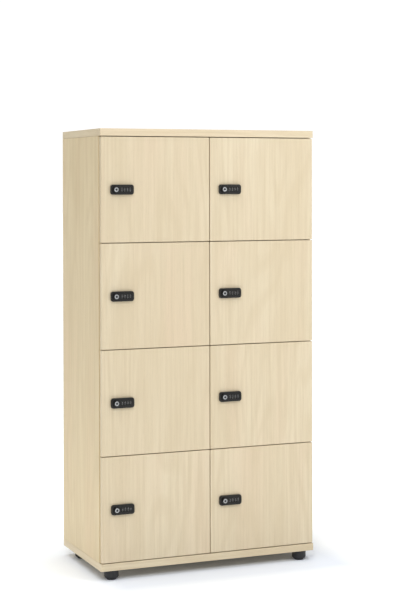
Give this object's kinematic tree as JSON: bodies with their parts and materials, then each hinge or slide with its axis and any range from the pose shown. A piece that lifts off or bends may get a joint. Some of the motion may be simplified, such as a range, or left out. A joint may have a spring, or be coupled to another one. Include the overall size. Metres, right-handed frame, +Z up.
{
  "type": "compartment locker",
  "caption": "Free-standing laminate locker cabinet in two columns of hinged doors, each with a turn-knob number lock, on round levelling feet.",
  "frame": {"origin": "on the floor, at the centre of the whole object's footprint, lock knobs included", "axes": "+Z up; +Y from the doors to the back; +X from the left side panel to the right one, seen from the front"},
  "size_m": [0.8, 0.437, 1.533],
  "materials": {
    "maple_laminate": "pale maple woodgrain melamine, satin, grain upright",
    "back_laminate": "plain pale maple melamine, satin",
    "lock_black_plastic": "moulded black, fine texture",
    "wheel_black_plastic": "moulded black with pale numbers",
    "knob_satin_metal": "satin nickel",
    "zinc_plated_steel": "bright zinc plate",
    "foot_black_plastic": "moulded black, satin"
  },
  "bodies": {
    "cabinet": {"top_panel": "maple_laminate", "bottom_panel": "maple_laminate", "left_side_panel": "maple_laminate", "right_side_panel": "maple_laminate", "centre_divider": "maple_laminate", "back_panel": "back_laminate", "shelf_left_1": "maple_laminate", "shelf_left_2": "maple_laminate", "shelf_left_3": "maple_laminate", "shelf_right_1": "maple_laminate", "shelf_right_2": "maple_laminate", "shelf_right_3": "maple_laminate", "foot_socket_front_left": "foot_black_plastic", "foot_socket_front_right": "foot_black_plastic", "foot_socket_back_left": "foot_black_plastic", "foot_socket_back_right": "foot_black_plastic"},
    "door_left_1": {"door_left_1": "maple_laminate", "lock_housing_left_1": "lock_black_plastic"},
    "knob_left_1": {"lock_knob_left_1": "knob_satin_metal", "lock_cam_left_1": "zinc_plated_steel"},
    "wheels_left_1": {"number_wheels_left_1": "wheel_black_plastic"},
    "door_left_2": {"door_left_2": "maple_laminate", "lock_housing_left_2": "lock_black_plastic"},
    "knob_left_2": {"lock_knob_left_2": "knob_satin_metal", "lock_cam_left_2": "zinc_plated_steel"},
    "wheels_left_2": {"number_wheels_left_2": "wheel_black_plastic"},
    "door_left_3": {"door_left_3": "maple_laminate", "lock_housing_left_3": "lock_black_plastic"},
    "knob_left_3": {"lock_knob_left_3": "knob_satin_metal", "lock_cam_left_3": "zinc_plated_steel"},
    "wheels_left_3": {"number_wheels_left_3": "wheel_black_plastic"},
    "door_left_4": {"door_left_4": "maple_laminate", "lock_housing_left_4": "lock_black_plastic"},
    "knob_left_4": {"lock_knob_left_4": "knob_satin_metal", "lock_cam_left_4": "zinc_plated_steel"},
    "wheels_left_4": {"number_wheels_left_4": "wheel_black_plastic"},
    "door_right_1": {"door_right_1": "maple_laminate", "lock_housing_right_1": "lock_black_plastic"},
    "knob_right_1": {"lock_knob_right_1": "knob_satin_metal", "lock_cam_right_1": "zinc_plated_steel"},
    "wheels_right_1": {"number_wheels_right_1": "wheel_black_plastic"},
    "door_right_2": {"door_right_2": "maple_laminate", "lock_housing_right_2": "lock_black_plastic"},
    "knob_right_2": {"lock_knob_right_2": "knob_satin_metal", "lock_cam_right_2": "zinc_plated_steel"},
    "wheels_right_2": {"number_wheels_right_2": "wheel_black_plastic"},
    "door_right_3": {"door_right_3": "maple_laminate", "lock_housing_right_3": "lock_black_plastic"},
    "knob_right_3": {"lock_knob_right_3": "knob_satin_metal", "lock_cam_right_3": "zinc_plated_steel"},
    "wheels_right_3": {"number_wheels_right_3": "wheel_black_plastic"},
    "door_right_4": {"door_right_4": "maple_laminate", "lock_housing_right_4": "lock_black_plastic"},
    "knob_right_4": {"lock_knob_right_4": "knob_satin_metal", "lock_cam_right_4": "zinc_plated_steel"},
    "wheels_right_4": {"number_wheels_right_4": "wheel_black_plastic"},
    "glide_front_left": {"foot_glide_front_left": "foot_black_plastic"},
    "glide_front_right": {"foot_glide_front_right": "foot_black_plastic"},
    "glide_back_left": {"foot_glide_back_left": "foot_black_plastic"},
    "glide_back_right": {"foot_glide_back_right": "foot_black_plastic"}
  },
  "joints": [
    {"name": "door_left_1_hinge", "type": "hinge", "parent": "cabinet", "child": "door_left_1", "pos_m": [-0.0015, -0.2015, 1.32563], "axis": [0, 0, 1], "range_deg": [0, 110]},
    {"name": "knob_left_1_turn", "type": "hinge", "parent": "door_left_1", "child": "knob_left_1", "pos_m": [-0.348, -0.2015, 1.32563], "axis": [0, 1, 0], "range_deg": [0, 90]},
    {"name": "wheels_left_1_turn", "type": "hinge", "parent": "door_left_1", "child": "wheels_left_1", "pos_m": [-0.326, -0.2052, 1.32563], "axis": [1, 0, 0], "continuous": true},
    {"name": "door_left_2_hinge", "type": "hinge", "parent": "cabinet", "child": "door_left_2", "pos_m": [-0.0015, -0.2015, 0.96388], "axis": [0, 0, 1], "range_deg": [0, 110]},
    {"name": "knob_left_2_turn", "type": "hinge", "parent": "door_left_2", "child": "knob_left_2", "pos_m": [-0.348, -0.2015, 0.96388], "axis": [0, 1, 0], "range_deg": [0, 90]},
    {"name": "wheels_left_2_turn", "type": "hinge", "parent": "door_left_2", "child": "wheels_left_2", "pos_m": [-0.326, -0.2052, 0.96388], "axis": [1, 0, 0], "continuous": true},
    {"name": "door_left_3_hinge", "type": "hinge", "parent": "cabinet", "child": "door_left_3", "pos_m": [-0.0015, -0.2015, 0.60213], "axis": [0, 0, 1], "range_deg": [0, 110]},
    {"name": "knob_left_3_turn", "type": "hinge", "parent": "door_left_3", "child": "knob_left_3", "pos_m": [-0.348, -0.2015, 0.60213], "axis": [0, 1, 0], "range_deg": [0, 90]},
    {"name": "wheels_left_3_turn", "type": "hinge", "parent": "door_left_3", "child": "wheels_left_3", "pos_m": [-0.326, -0.2052, 0.60213], "axis": [1, 0, 0], "continuous": true},
    {"name": "door_left_4_hinge", "type": "hinge", "parent": "cabinet", "child": "door_left_4", "pos_m": [-0.0015, -0.2015, 0.24038], "axis": [0, 0, 1], "range_deg": [0, 110]},
    {"name": "knob_left_4_turn", "type": "hinge", "parent": "door_left_4", "child": "knob_left_4", "pos_m": [-0.348, -0.2015, 0.24038], "axis": [0, 1, 0], "range_deg": [0, 90]},
    {"name": "wheels_left_4_turn", "type": "hinge", "parent": "door_left_4", "child": "wheels_left_4", "pos_m": [-0.326, -0.2052, 0.24038], "axis": [1, 0, 0], "continuous": true},
    {"name": "door_right_1_hinge", "type": "hinge", "parent": "cabinet", "child": "door_right_1", "pos_m": [0.397, -0.2015, 1.32563], "axis": [0, 0, 1], "range_deg": [0, 110]},
    {"name": "knob_right_1_turn", "type": "hinge", "parent": "door_right_1", "child": "knob_right_1", "pos_m": [0.0505, -0.2015, 1.32563], "axis": [0, 1, 0], "range_deg": [0, 90]},
    {"name": "wheels_right_1_turn", "type": "hinge", "parent": "door_right_1", "child": "wheels_right_1", "pos_m": [0.0725, -0.2052, 1.32563], "axis": [1, 0, 0], "continuous": true},
    {"name": "door_right_2_hinge", "type": "hinge", "parent": "cabinet", "child": "door_right_2", "pos_m": [0.397, -0.2015, 0.96388], "axis": [0, 0, 1], "range_deg": [0, 110]},
    {"name": "knob_right_2_turn", "type": "hinge", "parent": "door_right_2", "child": "knob_right_2", "pos_m": [0.0505, -0.2015, 0.96388], "axis": [0, 1, 0], "range_deg": [0, 90]},
    {"name": "wheels_right_2_turn", "type": "hinge", "parent": "door_right_2", "child": "wheels_right_2", "pos_m": [0.0725, -0.2052, 0.96388], "axis": [1, 0, 0], "continuous": true},
    {"name": "door_right_3_hinge", "type": "hinge", "parent": "cabinet", "child": "door_right_3", "pos_m": [0.397, -0.2015, 0.60213], "axis": [0, 0, 1], "range_deg": [0, 110]},
    {"name": "knob_right_3_turn", "type": "hinge", "parent": "door_right_3", "child": "knob_right_3", "pos_m": [0.0505, -0.2015, 0.60213], "axis": [0, 1, 0], "range_deg": [0, 90]},
    {"name": "wheels_right_3_turn", "type": "hinge", "parent": "door_right_3", "child": "wheels_right_3", "pos_m": [0.0725, -0.2052, 0.60213], "axis": [1, 0, 0], "continuous": true},
    {"name": "door_right_4_hinge", "type": "hinge", "parent": "cabinet", "child": "door_right_4", "pos_m": [0.397, -0.2015, 0.24038], "axis": [0, 0, 1], "range_deg": [0, 110]},
    {"name": "knob_right_4_turn", "type": "hinge", "parent": "door_right_4", "child": "knob_right_4", "pos_m": [0.0505, -0.2015, 0.24038], "axis": [0, 1, 0], "range_deg": [0, 90]},
    {"name": "wheels_right_4_turn", "type": "hinge", "parent": "door_right_4", "child": "wheels_right_4", "pos_m": [0.0725, -0.2052, 0.24038], "axis": [1, 0, 0], "continuous": true},
    {"name": "glide_front_left_turn", "type": "hinge", "parent": "cabinet", "child": "glide_front_left", "pos_m": [-0.355, -0.1755, 0], "axis": [0, 0, 1], "continuous": true},
    {"name": "glide_front_right_turn", "type": "hinge", "parent": "cabinet", "child": "glide_front_right", "pos_m": [0.355, -0.1755, 0], "axis": [0, 0, 1], "continuous": true},
    {"name": "glide_back_left_turn", "type": "hinge", "parent": "cabinet", "child": "glide_back_left", "pos_m": [-0.355, 0.1435, 0], "axis": [0, 0, 1], "continuous": true},
    {"name": "glide_back_right_turn", "type": "hinge", "parent": "cabinet", "child": "glide_back_right", "pos_m": [0.355, 0.1435, 0], "axis": [0, 0, 1], "continuous": true}
  ]
}
